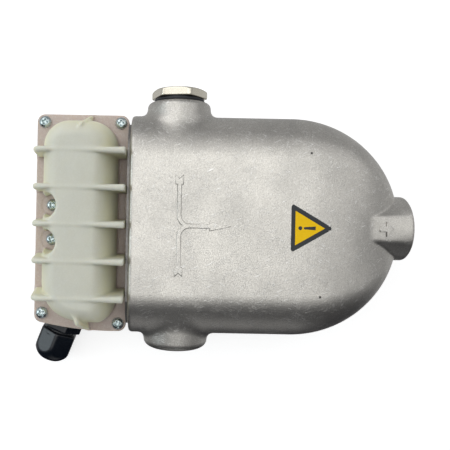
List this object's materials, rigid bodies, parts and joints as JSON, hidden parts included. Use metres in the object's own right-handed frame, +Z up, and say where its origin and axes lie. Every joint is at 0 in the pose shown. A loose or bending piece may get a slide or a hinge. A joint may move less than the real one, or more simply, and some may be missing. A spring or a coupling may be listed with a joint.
{
  "type": "steam trap",
  "caption": "Bell-shaped cast steam trap with two side ports, a top port, a float-operated valve inside, and a terminal box with a domed ribbed cover and a cable gland below.",
  "frame": {"origin": "centre of the outlet port's face, at the top of the trap as installed", "axes": "+Z up through the outlet port, -Y out of the front with the flow arrow and the terminal cover, +X towards the open side port and the cable gland"},
  "size_m": [0.1813, 0.0646, 0.2387],
  "materials": {
    "cast_aluminium": "satin, as-cast with fine scratches",
    "machined_aluminium": "machined satin",
    "nickel_plate": "polished, slightly warm",
    "zinc_steel": "bright zinc",
    "stainless_steel": "polished",
    "transformer_steel": "matte laminations",
    "brass": "satin",
    "natural_nylon": "translucent satin",
    "black_nylon": "semi-gloss",
    "black_rubber": "matte",
    "silicone": "matte",
    "ceramic": "glazed",
    "board_green": "satin",
    "blue_plastic": "satin",
    "lead_brown": "satin",
    "label_yellow": "printed film, black border"
  },
  "bodies": {
    "housing": {"bell_housing": "cast_aluminium", "warning_label": "label_yellow", "side_plug": "nickel_plate", "side_plug_seal": "black_rubber", "base_plate": "machined_aluminium", "base_seal": "black_rubber", "base_screw_1": "zinc_steel", "base_screw_2": "zinc_steel", "base_screw_3": "zinc_steel", "base_screw_4": "zinc_steel", "probe_fitting": "brass", "probe_insulator": "ceramic", "probe_rod": "stainless_steel", "valve_seat": "stainless_steel", "lever_bracket": "stainless_steel", "bracket_screw_1": "stainless_steel", "bracket_screw_2": "stainless_steel", "lever_pin": "stainless_steel", "inlet_tee": "brass", "standpipe": "stainless_steel", "inlet_nipple_left": "brass", "inlet_nipple_right": "brass", "inlet_screen": "stainless_steel", "terminal_box": "cast_aluminium", "box_screw_1": "zinc_steel", "box_screw_2": "zinc_steel", "cover_gasket": "silicone", "terminal_cover": "natural_nylon", "cover_screw_1": "zinc_steel", "cover_screw_2": "zinc_steel", "cover_screw_3": "zinc_steel", "cover_screw_4": "zinc_steel", "cover_screw_5": "zinc_steel", "cover_screw_6": "zinc_steel", "gland_washer": "black_rubber", "gland_body": "black_nylon", "gland_seal": "black_rubber", "gland_nut": "black_nylon", "circuit_board": "board_green", "board_post_1": "brass", "board_screw_1": "zinc_steel", "board_post_2": "brass", "board_screw_2": "zinc_steel", "board_post_3": "brass", "board_screw_3": "zinc_steel", "board_post_4": "brass", "board_screw_4": "zinc_steel", "terminal_block": "blue_plastic", "transformer": "transformer_steel", "relay": "blue_plastic", "status_lamp": "ceramic", "probe_lead": "lead_brown"},
    "lever_arm": {"lever": "stainless_steel", "valve_ball": "stainless_steel"},
    "float_bucket": {"bucket": "stainless_steel", "bucket_hook": "stainless_steel"}
  },
  "joints": [
    {"name": "lever_hinge", "type": "hinge", "parent": "housing", "child": "lever_arm", "pos_m": [-0.013, 0, -0.04], "axis": [0, -1, 0], "range_deg": [0, 9.8]},
    {"name": "bucket_slide", "type": "slide", "parent": "housing", "child": "float_bucket", "axis": [0, 0, 1], "range_m": [0, 0.0048]}
  ],
  "couplings": [
    {"joint": "lever_hinge", "follows": "bucket_slide", "rad_per_m": 35.6}
  ]
}
